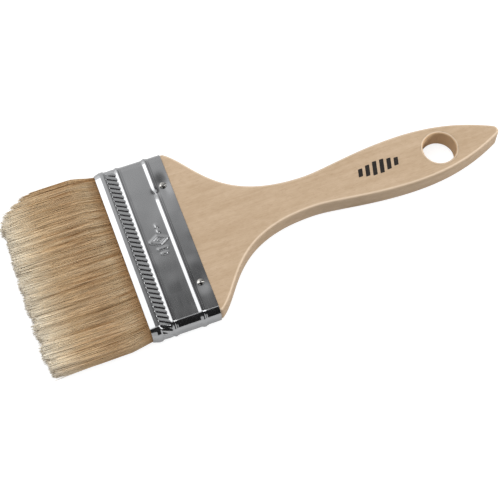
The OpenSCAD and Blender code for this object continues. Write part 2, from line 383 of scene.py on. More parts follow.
def bristle_material():
    """Natural bristle: golden brown at the ferrule, creamy towards the tips, with painted shade where
    deep.
    """
    material, nodes, shader = principled("natural_bristle", Specular_IOR_Level=0.25)
    along = nodes.attribute("along")
    strand = nodes.attribute("strand")
    # depth: how much painted shade each point gets
    depth = nodes.attribute("depth")
    color = nodes.ramp(along, BRISTLE_COLORS)
    shade = nodes.mix(strand, (*DARK_STRAND, 1), (*PALE_STRAND, 1))
    color = nodes.mix(nodes.step(along, 0.5, 1.0, 1.0, 0.35), color, shade, "MULTIPLY")
    brown = nodes.math("MULTIPLY", nodes.step(strand, 0.05, 0.0), nodes.step(along, 0.45, 1.0, 0.6, 0.1))
    color = nodes.mix(brown, color, (*BROWN_STRAND, 1))
    # painted shade where the strands lie deep
    color = nodes.mix(nodes.math("MULTIPLY", depth, 0.7), color, (*BRISTLE_PAINTED_SHADE, 1))
    nodes.put(shader.inputs["Base Color"], color)
    nodes.put(shader.inputs["Roughness"], nodes.step(strand, 0.0, 1.0, 0.75, 0.6))
    return material


def resin_material():
    """Cloudy amber setting resin."""
    material, nodes, shader = principled("setting_resin", Specular_IOR_Level=0.5)
    clouds = nodes.noise(nodes.object_mm((0.3, 0.3, 0.3)), detail=4.0)
    nodes.put(
        shader.inputs["Base Color"],
        nodes.mix(clouds, (0.33, 0.17, 0.05, 1), (0.56, 0.36, 0.13, 1)),
    )
    nodes.put(shader.inputs["Roughness"], nodes.step(clouds, 0.3, 0.7, 0.15, 0.35))
    nodes.put(shader.inputs["Normal"], nodes.bump(clouds, 0.2, 0.4))
    return material


def ink_material():
    """Black stamped ink, a little thin where the wood's fibres show through."""
    material, nodes, shader = principled("stamped_ink", Specular_IOR_Level=0.3)
    worn = nodes.noise(nodes.object_mm((0.6, 3.0, 3.0)), detail=3.0, roughness=0.7)
    nodes.put(
        shader.inputs["Base Color"],
        nodes.mix(nodes.step(worn, 0.58, 0.8), (0.018, 0.015, 0.013, 1), (0.11, 0.08, 0.055, 1)),
    )
    nodes.put(shader.inputs["Roughness"], nodes.step(worn, 0.3, 0.7, 0.45, 0.7))
    nodes.put(shader.inputs["Normal"], nodes.bump(worn, 0.01, 0.4))
    return material


# ---------------------------------------------------------------- handle
def curve(a, b, c, d, steps):
    """Points of a cubic curve after its first point."""
    t = (np.arange(steps) + 1)[:, None] / steps
    u = 1 - t
    a, b, c, d = (np.array(p, float) for p in (a, b, c, d))
    return u**3 * a + 3 * u * u * t * b + 3 * u * t * t * c + t**3 * d


def arc(center, radius, first, last, steps):
    """Points of an arc after its first point; angles are in radians."""
    angles = first + (last - first) * (np.arange(steps) + 1) / steps
    return np.array(center) + radius * np.stack([np.cos(angles), np.sin(angles)], 1)


def pulled_curve(start, start_way, end, end_way, pulls, steps):
    """A curve after its first point, drawn out along a direction at each end."""
    length = end[0] - start[0]
    first = start + pulls[0] * length * start_way
    second = end + pulls[1] * length * end_way
    return curve(start, first, second, end, steps)


def handle_side():
    """The handle's +Y side, from the tongue's end to the tip, as the CAD handle has it."""
    shoulder_center = np.array([FERRULE_L + SHOULDER_GAP, TONGUE_HALF_W - SHOULDER_R])
    across = np.array([math.sin(SHOULDER_SLOPE), math.cos(SHOULDER_SLOPE)])
    down = np.array([math.cos(SHOULDER_SLOPE), -math.sin(SHOULDER_SLOPE)])
    shoulder_end = shoulder_center + SHOULDER_R * across
    neck = np.array(NECK)
    paddle = np.array(PADDLE)
    tip_center = np.array([TIP_X - TIP_R, 0.0])
    tip_start = tip_center + TIP_R * np.array([math.sin(TIP_HALF_ANGLE), math.cos(TIP_HALF_ANGLE)])
    tip_back = np.array([-math.cos(TIP_HALF_ANGLE), math.sin(TIP_HALF_ANGLE)])
    along = np.array([1.0, 0.0])
    return np.concatenate(
        [
            np.linspace([TONGUE_X, TONGUE_HALF_W], shoulder_center + [0, SHOULDER_R], 9),
            arc(shoulder_center, SHOULDER_R, math.pi / 2, math.pi / 2 - SHOULDER_SLOPE, 8),
            pulled_curve(shoulder_end, down, neck, -along, FLANK_PULLS, 60),
            pulled_curve(neck, along, paddle, -along, WAIST_PULLS, 34),
            pulled_curve(paddle, along, tip_start, tip_back, NOSE_PULLS, 32),
            arc(tip_center, TIP_R, math.pi / 2 - TIP_HALF_ANGLE, 0.0, 9),
        ]
    )


def inset(points, distance):
    """A closed clockwise outline moved inwards, keeping one point for each of its points."""
    before = points - np.roll(points, 1, 0)
    after = np.roll(points, -1, 0) - points
    normal_a = np.stack([before[:, 1], -before[:, 0]], 1) / np.linalg.norm(before, axis=1)[:, None]
    normal_b = np.stack([after[:, 1], -after[:, 0]], 1) / np.linalg.norm(after, axis=1)[:, None]
    dot = (normal_a * normal_b).sum(1)[:, None]
    return points + distance * (normal_a + normal_b) / (1 + dot)


def edge_rings(half_t, radius, wall_steps, arc_steps=9, support=0.15):
    """(inset, z) pairs down a rounded edge, from just inside the front face to the back face."""
    angles = np.linspace(0, math.pi / 2, arc_steps + 1)
    front = [(radius * (1 - math.sin(a)), half_t - radius + radius * math.cos(a)) for a in angles]
    wall = [(0.0, z) for z in np.linspace(half_t - radius, radius - half_t, wall_steps + 1)[1:-1]]
    back = [(d, -z) for d, z in reversed(front)]
    return [(radius + support, half_t), *front, *wall, *back, (radius + support, -half_t)]


# the points inside the handle's faces: their spacing, how far they stay from the edges, and how
# far from the middle they are tried
FACE_SPACING = 2.0
FACE_MARGIN = 1.2
FACE_REACH = 40.0


def inner_points():
    """Points over the handle's face, in staggered rows, clear of its edge and of the hole."""
    side = handle_side()
    inner = []
    for i, x in enumerate(np.arange(TONGUE_X + 3, TIP_X - 4, FACE_SPACING)):
        half = np.interp(x, side[:, 0], side[:, 1]) - EDGE_R - FACE_MARGIN
        shift = FACE_SPACING / 2 if i % 2 else 0.0
        for y in np.arange(-FACE_REACH + shift, FACE_REACH, FACE_SPACING):
            clear = math.hypot(x - HOLE_X, y) > HOLE_R + HOLE_RIM_R + FACE_MARGIN
            if abs(y) < half and clear:
                inner.append((x, y))
    return inner


def face_triangles(outline, hole, inner):
    """Triangles over a face: its outline, the rim of its hole and the points inside it."""
    points = [Vector(p) for p in [*outline, *hole, *inner]]
    n = len(outline)
    m = len(hole)
    loops = [(i, (i + 1) % n) for i in range(n)] + [(n + i, n + (i + 1) % m) for i in range(m)]
    found = delaunay_2d_cdt(points, loops, [], 1, 1e-6)
    source = [origins[0] for origins in found[3]]
    triangles = []
    for face in found[2]:
        ids = [source[v] for v in face]
        center = sum((points[v] for v in ids), Vector((0, 0))) / 3
        if (center - Vector((HOLE_X, 0))).length > HOLE_R + HOLE_RIM_R:
            triangles.append(ids)
    return triangles


def fit_tongue(points):
    """Brings the handle's points inside the ferrule onto the tongue, a thinner rounded bar."""
    inside = 1 - smooth_step(points[:, 0], FERRULE_L - 0.5, FERRULE_L)
    points[:, 2] *= 1 - inside * (1 - TONGUE_HALF_T / HANDLE_HALF_T)
    center = np.array([TONGUE_HALF_W - TONGUE_CORNER_R, TONGUE_HALF_T - TONGUE_CORNER_R])
    section = np.abs(points[:, 1:])
    over = np.clip(section - center, 0, None)
    reach = np.linalg.norm(over, axis=1)
    pull = inside * np.clip(1 - TONGUE_CORNER_R / np.maximum(reach, TONGUE_CORNER_R), 0, 1)
    points[:, 1:] -= np.sign(points[:, 1:]) * over * pull[:, None]
    return points


def handle_faces(ring_count, n, hole_ring_count, m, inner_count, triangles):
    """Faces round the handle's side, round the hole's wall, and over the front and the back."""
    hole_start = ring_count * n
    inner_start = hole_start + hole_ring_count * m
    faces = grid_faces(ring_count, n, wrap_columns=True).tolist()
    faces += (grid_faces(hole_ring_count, m, wrap_columns=True) + hole_start).tolist()
    last_ring = (ring_count - 1) * n
    last_hole = hole_start + (hole_ring_count - 1) * m
    for back in (False, True):
        for triangle in triangles:
            ids = []
            for v in triangle:
                if v < n:
                    ids.append(v + (last_ring if back else 0))
                elif v < n + m:
                    ids.append(v - n + (last_hole if back else hole_start))
                else:
                    ids.append(v - n - m + inner_start + (inner_count if back else 0))
            faces.append(ids)
    return faces


def edge_highlight_values(rings, count, radius):
    """For each vertex of the rings, how strong the painted highlight is there: a pale band over the
    middle of a rounded edge.
    """
    values = []
    for distance, _ in rings:
        across = np.clip(1 - distance / radius, 0, 1)
        value = math.exp(-(((across - 0.45) / 0.4) ** 2)) if 0 < distance <= radius else 0.0
        values += [value] * count
    return values


def bored_values(hole_rings, m):
    """1 at each vertex of the hole's wall and 0 at its rims."""
    values = []
    for distance, _ in hole_rings:
        values += [1.0 if distance < 0.5 * HOLE_RIM_R else 0.0] * m
    return values


def handle_mesh():
    """The handle with rounded edges, a rounded hang hole and the tongue inside the ferrule."""
    side = handle_side()
    outline = np.concatenate([side, (side * [1, -1])[-2::-1]])
    n = len(outline)
    turn = np.arange(HOLE_STEPS) * 2 * math.pi / HOLE_STEPS
    circle = np.stack([np.cos(turn), np.sin(turn)], 1)
    rings = edge_rings(HANDLE_HALF_T, EDGE_R, wall_steps=6)
    hole_rings = edge_rings(HANDLE_HALF_T, HOLE_RIM_R, wall_steps=12, arc_steps=6, support=0.12)
    inner = inner_points()
    loops = [(inset(outline, distance), z) for distance, z in rings]
    loops += [(np.array([HOLE_X, 0.0]) + (HOLE_R + distance) * circle, z) for distance, z in hole_rings]
    triangles = face_triangles(loops[0][0], loops[len(rings)][0], inner)
    loops += [(np.array(inner), z) for z in (HANDLE_HALF_T, -HANDLE_HALF_T)]
    points = np.concatenate([np.column_stack([loop, np.full(len(loop), z)]) for loop, z in loops])
    faces = handle_faces(len(rings), n, len(hole_rings), HOLE_STEPS, len(inner), triangles)
    mesh = mesh_from_lists("wooden_handle", fit_tongue(points), faces)
    face_outwards(mesh)
    plain = [0.0] * (2 * len(inner))
    # the painted highlight on the rounded edges and the hole's rims
    painted_edge_highlight = edge_highlight_values(rings, n, EDGE_R) + edge_highlight_values(hole_rings, HOLE_STEPS, HOLE_RIM_R) + plain
    add_attribute(mesh, "painted_edge_highlight", np.array(painted_edge_highlight))
    # the hole's wall, which gets a warmer brown tint made lighter as painted light
    bore_tint_and_light = [0.0] * (len(rings) * n) + bored_values(hole_rings, HOLE_STEPS) + plain
    add_attribute(mesh, "bore_tint_and_light", np.array(bore_tint_and_light))
    return mesh


def make_handle():
    obj = new_object("wooden_handle", handle_mesh())
    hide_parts("handle")
    wood = wood_material(
        "pale_wood",
        light=(0.52, 0.39, 0.27),
        dark=(0.39, 0.275, 0.17),
        fleck=(0.25, 0.15, 0.08),
        # the hole's wall: a warmer brown, made lighter as painted light
        bore_tint_and_light=(0.62, 0.42, 0.24),
    )
    finish_piece(obj, wood)


# the stamped bars: the first one's middle, their spacing, and the shape and ink of each
BARS_X = 104.4
BARS_Y = 0.4
BAR_PITCH = 3.2
BAR_W = 1.9
BAR_HEIGHTS = (3.6, 5.0, 6.2, 6.2, 5.0, 3.6)
BAR_SLANT = 0.28
BAR_CORNER_R = 0.25
INK_SINK = 0.05
INK_RISE = 0.03


def slanted_bar(x, y, height):
    """Outline of a slanted bar with rounded corners, round its middle."""
    outline = []
    for corner_x, corner_y in ((-1, -1), (1, -1), (1, 1), (-1, 1)):
        center_x = corner_x * (BAR_W / 2 - BAR_CORNER_R)
        center_y = corner_y * (height / 2 - BAR_CORNER_R)
        start = math.atan2(corner_y, corner_x) - math.pi / 4
        for k in range(5):
            angle = start + k * math.pi / 8
            px = center_x + BAR_CORNER_R * math.cos(angle)
            py = center_y + BAR_CORNER_R * math.sin(angle)
            outline.append((x + px + BAR_SLANT * py, y + py))
    return outline


def make_print():
    """A plain row of slanted bars stamped on the handle, as thin ink."""
    points = []
    faces = []
    for i, height in enumerate(BAR_HEIGHTS):
        outline = slanted_bar(BARS_X + BAR_PITCH * i, BARS_Y, height)
        n = len(outline)
        start = len(points)
        for z in (HANDLE_HALF_T - INK_SINK, HANDLE_HALF_T + INK_RISE):
            points += [(px, py, z) for px, py in outline]
        faces.append(list(range(start + n, start + 2 * n)))
        faces.append(list(range(start + n - 1, start - 1, -1)))
        for k in range(n):
            j = (k + 1) % n
            faces.append([start + k, start + j, start + n + j, start + n + k])
    mesh = mesh_from_lists("stamped_bars", points, faces)
    mesh.shade_flat()
    finish_piece(new_object("stamped_bars", mesh), ink_material())


# ---------------------------------------------------------------- ferrule
# x, and the height of the outside above the plain section
FERRULE_PROFILE = (
    (0.0, -0.35), (2.35, 0.43), (3.9, 0.46), (4.4, -0.20), (8.25, -0.25), (9.55, 0.42),
    (10.0, 0.40), (10.4, 0.16), (10.75, 0.15), (11.2, 0.0), (20.45, 0.0), (21.75, 0.46),
    (22.2, 0.44), (22.6, 0.2), (22.95, 0.18), (23.4, 0.0), (FERRULE_L, 0.0),
)
PROFILE_X, PROFILE_RISE = zip(*FERRULE_PROFILE)
# x, and the height of the inside, from the rear edge back to the mouth
FERRULE_INSIDE = (
    (28.75, -0.4), (24, -0.4), (19, -0.4), (11, -0.4), (8, -0.62), (4.5, -0.62),
    (2.5, -0.4), (0.6, -0.68), (0.05, -0.74), (0.0, -0.55),
)
KNURL_START = 4.4
KNURL_END = 8.25
KNURL_MARGIN = 0.4
KNURL_RIBS = 78
KNURL_RISE = 0.30
KNURL_SLOPE = 0.56

# soft dents: the side (1 front, -1 back), x, y, depth, and the reach along x and along y
DENTS = (
    (1, NAIL_X, -FRONT_NAIL_Y, 0.2, 3.0, 4.6),
    (-1, NAIL_X, -BACK_NAIL_Y, 0.3, 3.0, 4.6),
    (1, NAIL_X, FRONT_NAIL_Y, 0.3, 3.0, 4.6),
    (-1, NAIL_X, BACK_NAIL_Y, 0.3, 3.0, 4.6),
    (1, 21.6, 20.4, 0.42, 1.3, 1.8),
)
SEAM_DEPTH = 0.2
SEAM_REACH = 0.22
UNEVEN_RISE = 0.045

# a plain ornament: a lozenge with a stud in it and short bars on both sides, each line as x and y
# of its two ends
EMBLEM_LINES = (
    (12.4, 0.0, 15.8, 1.9),
    (15.8, 1.9, 19.2, 0.0),
    (19.2, 0.0, 15.8, -1.9),
    (15.8, -1.9, 12.4, 0.0),
    (15.6, 0.0, 16.0, 0.0),
    (16.8, 3.4, 16.8, 4.4),
    (16.8, 5.8, 16.8, 6.8),
    (14.6, -4.0, 17.8, -4.0),
    (15.4, -6.2, 17.0, -6.2),
)
EMBLEM_RISE = 0.2
EMBLEM_REACH = 0.5

# the mesh's rows along the ferrule: how near they come to a break of the profile, and their
# spacing in the knurled band, in other long stretches and in short ones
ROW_MARGIN = 0.06
LONG_STRETCH = 4
KNURL_ROW_PITCH = 0.2
LONG_ROW_PITCH = 0.3
SHORT_ROW_PITCH = 0.4
# how many points the mesh has round each stretch of the section
HALF_BACK_STEPS = 133
FRONT_STEPS = 266
SIDE_STEPS = 8
CORNER_STEPS = 18


def ferrule_rows():
    """Places along the ferrule for the mesh's rows: close at each break of the profile."""
    rows = [0.0, 0.08]
    for start, end in zip(PROFILE_X, PROFILE_X[1:]):
        low = start + ROW_MARGIN
        high = end - ROW_MARGIN
        if start == KNURL_START:
            pitch = KNURL_ROW_PITCH
        elif end - start > LONG_STRETCH:
            pitch = LONG_ROW_PITCH
        else:
            pitch = SHORT_ROW_PITCH
        steps = max(1, round((high - low) / pitch))
        rows += list(np.linspace(low, high, steps + 1))
    rows = sorted(set(round(x, 4) for x in rows))
    return np.array([x for x in rows if x < FERRULE_L - 0.05] + [FERRULE_L])


def spaced(start, end, steps):
    """Even steps from start, without the end."""
    return np.linspace(start, end, steps + 1)[:-1]


def section_stretch(y, z, normal_y, normal_z):
    """Points of a straight stretch of the section and its outward normal, as columns."""
    return np.column_stack(np.broadcast_arrays(y, z, normal_y, normal_z))


def section_corner(side_y, side_z, first_angle):
    """Points of a rounded corner of the section and their outward normals, as columns."""
    center = [side_y * (FERRULE_HALF_W - CORNER_R), side_z * (FERRULE_HALF_T - CORNER_R)]
    angle = first_angle - spaced(0, math.pi / 2, CORNER_STEPS)
    normal = np.column_stack([np.cos(angle), np.sin(angle)])
    return np.column_stack([np.array(center) + CORNER_R * normal, normal])


def ferrule_columns():
    """Points round the section from the middle of the back, and how far round each one lies.

    Gives each point's y, z and outward normal, its distance from the start, and the whole length.
    """
    flat_y = FERRULE_HALF_W - CORNER_R
    flat_z = FERRULE_HALF_T - CORNER_R
    first_back = -spaced(0, flat_y, HALF_BACK_STEPS)
    front = spaced(-flat_y, flat_y, FRONT_STEPS)
    last_back = spaced(flat_y, 0, HALF_BACK_STEPS)
    side = spaced(-flat_z, flat_z, SIDE_STEPS)
    section = np.concatenate(
        [
            section_stretch(first_back, -FERRULE_HALF_T, 0, -1),
            section_corner(-1, -1, 1.5 * math.pi),
            section_stretch(-FERRULE_HALF_W, side, -1, 0),
            section_corner(-1, 1, 1.0 * math.pi),
            section_stretch(front, FERRULE_HALF_T, 0, 1),
            section_corner(1, 1, 0.5 * math.pi),
            section_stretch(FERRULE_HALF_W, -side, 1, 0),
            section_corner(1, -1, 0.0),
            section_stretch(last_back, -FERRULE_HALF_T, 0, -1),
        ]
    )
    gaps = np.linalg.norm(np.roll(section[:, :2], -1, 0) - section[:, :2], axis=1)
    around = np.concatenate([[0], np.cumsum(gaps)[:-1]])
    return section, around, gaps.sum()


def dimple(x, y, center_x, center_y, radius_x, radius_y):
    """1 at the centre of a soft dent, falling smoothly to 0 round it."""
    return np.exp(-(((x - center_x) / radius_x) ** 2) - ((y - center_y) / radius_y) ** 2)


def line_distance(x, y, x0, y0, x1, y1):
    """Distance from the line between two points."""
    dx = x1 - x0
    dy = y1 - y0
    t = np.clip(((x - x0) * dx + (y - y0) * dy) / (dx * dx + dy * dy), 0, 1)
    return np.hypot(x - x0 - t * dx, y - y0 - t * dy)


def emblem_height(x, y):
    """Height of the stamped ornament."""
    nearest = np.minimum.reduce([line_distance(x, y, *ends) for ends in EMBLEM_LINES])
    return EMBLEM_RISE * np.exp(-((nearest / EMBLEM_REACH) ** 2))


def knurled(heights, x, around, length_round):
    """The heights with the knurled band's slanted ribs, where x lies in the band."""
    if not KNURL_START - KNURL_MARGIN < x < KNURL_END + KNURL_MARGIN:
        return heights
    phase = (around + KNURL_SLOPE * x) * KNURL_RIBS / length_round
    rib = (0.5 + 0.5 * np.cos(2 * math.pi * phase)) ** 0.8
    floor = np.interp(KNURL_START, PROFILE_X, PROFILE_RISE)
    return np.maximum(heights, floor + KNURL_RISE * rib)


def ferrule_height(x, section, around, length_round):
    """Height of the ferrule's outside above its plain section, round the row at x."""
    y, _, _, normal_z = section.T
    heights = np.full(len(y), np.interp(x, PROFILE_X, PROFILE_RISE))
    heights = knurled(heights, x, around, length_round)
    for side, dent_x, dent_y, depth, reach_x, reach_y in DENTS:
        on_side = side * normal_z > 0.5
        heights = heights - depth * on_side * dimple(x, y, dent_x, dent_y, reach_x, reach_y)
    heights = heights + (normal_z > 0.5) * emblem_height(x, y)
    heights = heights - SEAM_DEPTH * (normal_z < -0.5) * np.exp(-((y / SEAM_REACH) ** 2))
    uneven = lattice_noise(around / 15 + 40, x / 10 + 7, 3) + 0.4 * lattice_noise(around / 5, x / 5, 4)
    return heights + UNEVEN_RISE * uneven * smooth_step(x, 0.5, 3.0)


def ferrule_mesh():
    """The rolled sheet, out along its outside, over its rear edge and back along its inside."""
    section, around, length_round = ferrule_columns()
    y, z, normal_y, normal_z = section.T
    rows = [(x, ferrule_height(x, section, around, length_round)) for x in ferrule_rows()]
    rows.append((FERRULE_L, rows[-1][1] - 0.5 * SHEET_T))
    rows += [(x, np.full(len(y), height)) for x, height in FERRULE_INSIDE]
    points = np.concatenate(
        [np.column_stack([np.full(len(y), x), y + normal_y * h, z + normal_z * h]) for x, h in rows]
    )
    faces = grid_faces(len(rows), len(y), wrap_rows=True, wrap_columns=True)[:, ::-1]
    return mesh_from_arrays("steel_ferrule", points, faces)


def make_ferrule():
    obj = new_object("steel_ferrule", ferrule_mesh())
    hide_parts("ferrule")
    steel = steel_material("bright_sheet", (0.56, 0.565, 0.575), rough_low=0.10, rough_high=0.18)
    finish_piece(obj, steel)


# ---------------------------------------------------------------- nails
# name, and the side it is on (1 front, -1 back)
NAILS = (("front_left", 1), ("front_right", 1), ("back_left", -1), ("back_right", -1))
NAIL_SEED = 30
NAIL_STEPS = 40
NAIL_SINK = 0.05
NAIL_HAMMERING = 0.04
# radius and height of the rings under the dome, down to the point
NAIL_SHANK = (
    (NAIL_HEAD_R, -0.05), (NAIL_HEAD_R - 0.06, -0.3), (0.8, -0.34), (0.7, -0.5), (0.7, -2.0),
    (0.7, -5.6), (0.35, -6.4), (0.04, -7.0),
)
NAIL_POINT_Z = -7.04


def nail_points(seed):
    """Rings of a domed nail along +Z, and then the middle of its head and its point."""
    dome = [(NAIL_HEAD_R * math.sin(a), NAIL_HEAD_H * math.cos(a)) for a in np.linspace(0.1, 1.5, 14)]
    rings = [*dome, *NAIL_SHANK]
    turn = np.arange(NAIL_STEPS) * 2 * math.pi / NAIL_STEPS
    points = []
    for radius, height in rings:
        x = radius * np.cos(turn)
        y = radius * np.sin(turn)
        hammered = NAIL_HAMMERING * lattice_noise(x * 1.1 + 9, y * 1.1 + 5, seed) * (height > 0)
        points.append(np.column_stack([x, y, height - NAIL_SINK + hammered]))
    points += [[[0, 0, NAIL_HEAD_H - 0.04]], [[0, 0, NAIL_POINT_Z]]]
    return np.concatenate(points), len(rings)


def nail_mesh(name, side, y, seed):
    """A whole nail in its place, on the front or the back."""
    points, rings = nail_points(seed)
    points[:, 2] = side * (points[:, 2] + FERRULE_HALF_T)
    points[:, 0] += NAIL_X
    points[:, 1] += y
    faces = grid_faces(rings, NAIL_STEPS, wrap_columns=True).tolist()
    top = rings * NAIL_STEPS
    last = top - NAIL_STEPS
    for k in range(NAIL_STEPS):
        j = (k + 1) % NAIL_STEPS
        faces.append([top, k, j])
        faces.append([top + 1, last + j, last + k])
    mesh = mesh_from_lists(name, points, faces)
    face_outwards(mesh)
    return mesh


def make_nails():
    steel = steel_material("nail_steel", (0.60, 0.585, 0.56), rough_low=0.08, rough_high=0.15)
    for number, (name, side) in enumerate(NAILS):
        low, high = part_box("nail_" + name)
        y = ((low.y + high.y) / 2 - ORIGIN[1]) / MM
        piece = "nail_dome_" + name
        obj = new_object(piece, nail_mesh(piece, side, y, NAIL_SEED + number))
        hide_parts("nail_" + name)
        finish_piece(obj, steel)


# ---------------------------------------------------------------- bristle
STRAND_SIDES = 3
TRIM_RINGS = 11
# the strands' places at the mouth: close layers at the skin and at both edges, wider ones inside,
# and a random shift of each strand
SKIN_LAYERS = 6
EDGE_LAYERS = 3
LAYER_GAP = 0.16
INNER_LAYER_GAP = 0.32
COLUMN_GAP = 0.25
EDGE_GAP = 0.17
SHIFT_Y = 0.13
SHIFT_Z = 0.07
# how much wider the pack grows, on its +Y and its -Y side, in front of the mouth and at the tips
SWELL_Y = (2.6, 1.5)
TIP_SWELL_Y = (2.1, 1.2)
SWELL_Z = 0.4
# the tips: how far tufts and single strands differ in length, and how the corners are cut back,
# with the square of the distance beyond a place on the +Y (left) and the -Y (right) side
TIP_REACH = 0.2
WIDE_TUFT = 1.0
NARROW_TUFT = 1.1
SHORT_SPREAD = 1.3
SHORTEST = 4.0
CUT_LEFT = 0.11
CUT_LEFT_Y = 28
CUT_RIGHT = 0.4
CUT_RIGHT_Y = 36.6
CREASE_DEPTH = 0.6
STRAY_SHARE = 0.05
STRAY_SPREAD = 2.4
SPREAD_Y = 0.28
SPREAD_Z = 0.15
WAVE_SIZE = 0.06
WAVE_LENGTHS = (14, 38)
STRAND_RADII = (0.10, 0.145)
# a strand's thickness along its length, as shares of both
TAPER_AT = (0, 0.5, 0.85, 1.02)
TAPER = (1.0, 1.0, 0.95, 0.75)
TIP_POINT = 0.1
# a strand's tone, from 0 dark to 1 pale: its mean, and how far groups and single strands differ
TONE = 0.58
TONE_GROUPS = 0.34
TONE_SPREAD = 0.16


def strand_places(rng):
    """Where the strands stand in the pack at the mouth: y and z of each, closest at the skin."""
    outer = PACK_HALF_T - LAYER_GAP / 2 - LAYER_GAP * np.arange(SKIN_LAYERS)
    inner = np.arange(outer[-1] - 0.3, 0.1, -INNER_LAYER_GAP)
    layers = np.concatenate([outer, inner])
    columns = np.arange(-PACK_HALF_W, PACK_HALF_W, COLUMN_GAP)
    y, z = np.meshgrid(columns, np.concatenate([layers, -layers]))
    edge_z = np.arange(-PACK_HALF_T, PACK_HALF_T, EDGE_GAP)
    edge_y = PACK_HALF_W - LAYER_GAP * np.arange(EDGE_LAYERS)
    side_y, side_z = np.meshgrid(np.concatenate([edge_y, -edge_y]), edge_z)
    y = np.concatenate([y.ravel(), side_y.ravel()])
    z = np.concatenate([z.ravel(), side_z.ravel()])
    y = np.clip(y + rng.uniform(-SHIFT_Y, SHIFT_Y, len(y)), -PACK_HALF_W, PACK_HALF_W)
    z = z + rng.uniform(-SHIFT_Z, SHIFT_Z, len(z))
    over = np.clip(np.abs(y) - (PACK_HALF_W - PACK_CORNER_R), 0, PACK_CORNER_R)
    limit = PACK_HALF_T - PACK_CORNER_R + np.sqrt(PACK_CORNER_R**2 - over**2)
    return y, z * limit / PACK_HALF_T


def tip_places(y, z, rng):
    """How far in front of the mouth each strand ends: ragged tufts, cut back at the corners."""
    y_tip = y * (1 + np.where(y > 0, *TIP_SWELL_Y) / PACK_HALF_W)
    tufts = WIDE_TUFT * lattice_noise(y_tip / 2.6 + 11, z / 25, 5)
    tufts = tufts + NARROW_TUFT * lattice_noise(y_tip / 0.9, z / 12, 6)
    cut = CUT_LEFT * np.clip(y_tip - CUT_LEFT_Y, 0, None) ** 2
    cut = cut + CUT_RIGHT * np.clip(-y_tip - CUT_RIGHT_Y, 0, None) ** 2
    short = np.abs(rng.normal(0, SHORT_SPREAD, len(y))) + SHORTEST * rng.uniform(0, 1, len(y)) ** 5
    return -(TRIM_L + tufts - cut - short + TIP_REACH)


def crease_field(x, y, front):
    """How deep the surface is parted at each point: narrow gaps, mostly near the ferrule."""
    shift = np.where(front, 0.0, 91.0)
    fine = lattice_noise(y / 0.6 + shift + 130, x / 16 + 3, 7)
    wide = lattice_noise(y / 1.1 + shift + 70, x / 22 + 9, 8)
    near = 0.08 + 0.92 * (1 - smooth_step(-x, 14, 34))
    return np.clip(0.7 * smooth_step(fine, 0.4, 0.8) + smooth_step(wide, 0.5, 0.8), 0, 1) * near


def strand_paths(y0, z0, tip_x, rng):
    """Points along every strand, from its root in the resin to its tip.

    Also gives each point's share of the trim's length, and how deep it lies, which sets its painted
    shade.
    """
    count = len(y0)
    free_share = np.linspace(0, 0.985, TRIM_RINGS - 1) ** 0.95
    share = np.concatenate([[0.0, 0.0], free_share, [1.0]])[None, :]
    x = tip_x[:, None] * share
    x[:, 0] = ROOT_X
    x[:, 1] = 0.9
    free = np.clip(-x, 0, None)
    t = free / TRIM_L
    y = y0[:, None] * np.ones_like(x)
    z = z0[:, None] * np.ones_like(x)
    front = z > 0

    swell = smooth_step(free, -1.5, 11) - 0.2 * smooth_step(free, 24, 42)
    y = y * (1 + np.where(y0 > 0, *SWELL_Y)[:, None] / PACK_HALF_W * swell)
    z = z * (1 + SWELL_Z / PACK_HALF_T * swell)

    layer = z0[:, None] / 2.5
    y = y + 0.45 * t * lattice_noise(y0[:, None] / 5 + layer + 20, x / 24 + 5, 11)
    y = y + 0.6 * t * lattice_noise(y0[:, None] / 1.2 + 60, layer * 9 + x / 90, 12)
    z = z + 0.22 * np.sqrt(t) * lattice_noise(y0[:, None] / 1.5 + 33, x / 14 + layer, 13)

    phase = rng.uniform(0, 2 * math.pi, (count, 1))
    wave = rng.uniform(*WAVE_LENGTHS, (count, 1))
    size = np.abs(rng.normal(0, WAVE_SIZE, (count, 1))) * smooth_step(free, 0, 6)
    y = y + size * np.sin(free * 2 * math.pi / wave + phase)
    z = z + 0.6 * size * np.cos(free * 2 * math.pi / wave + phase)
    stray = np.where(rng.uniform(0, 1, (count, 1)) < STRAY_SHARE, STRAY_SPREAD, 1.0)
    y = y + rng.normal(0, SPREAD_Y, (count, 1)) * stray * t**1.6
    z = z + rng.normal(0, SPREAD_Z, (count, 1)) * stray * t**1.6

    skin = smooth_step(np.abs(z0)[:, None], PACK_HALF_T - 1.3, PACK_HALF_T - 0.2)
    crease = crease_field(x, y, front) * smooth_step(free, 0.2, 3.0)
    z = z - np.sign(z) * CREASE_DEPTH * crease * skin
    # painted shadow: a dark line where the strands go into the ferrule's lip; with the creases and the
    # inner strands it makes up the painted shade
    lip_shadow = 0.9 * (1 - smooth_step(free, 0.1, 1.2))
    depth = np.clip(crease + 0.2 * (1 - skin) + lip_shadow, 0, 1)
    z = np.clip(z, -ORIGIN[2] / MM + 0.15, None)
    return np.stack([x, y, z], 2), t, depth


def strand_tubes(paths, radii):
    """Vertices and faces of a thin tube round each path."""
    count, rings, _ = paths.shape
    turn = np.arange(STRAND_SIDES) * 2 * math.pi / STRAND_SIDES + math.pi / 2
    ring = np.stack([np.zeros(STRAND_SIDES), np.cos(turn), np.sin(turn)], 1)
    points = paths[:, :, None, :] + radii[:, :, None, None] * ring[None, None, :, :]
    points = points.reshape(-1, 3)
    strand, r, s = np.ogrid[:count, : rings - 1, :STRAND_SIDES]
    row = (strand * rings + r) * STRAND_SIDES
    a = row + s
    b = row + (s + 1) % STRAND_SIDES
    quads = np.stack([a, b, b + STRAND_SIDES, a + STRAND_SIDES], 3).reshape(-1, 4)
    return points, quads


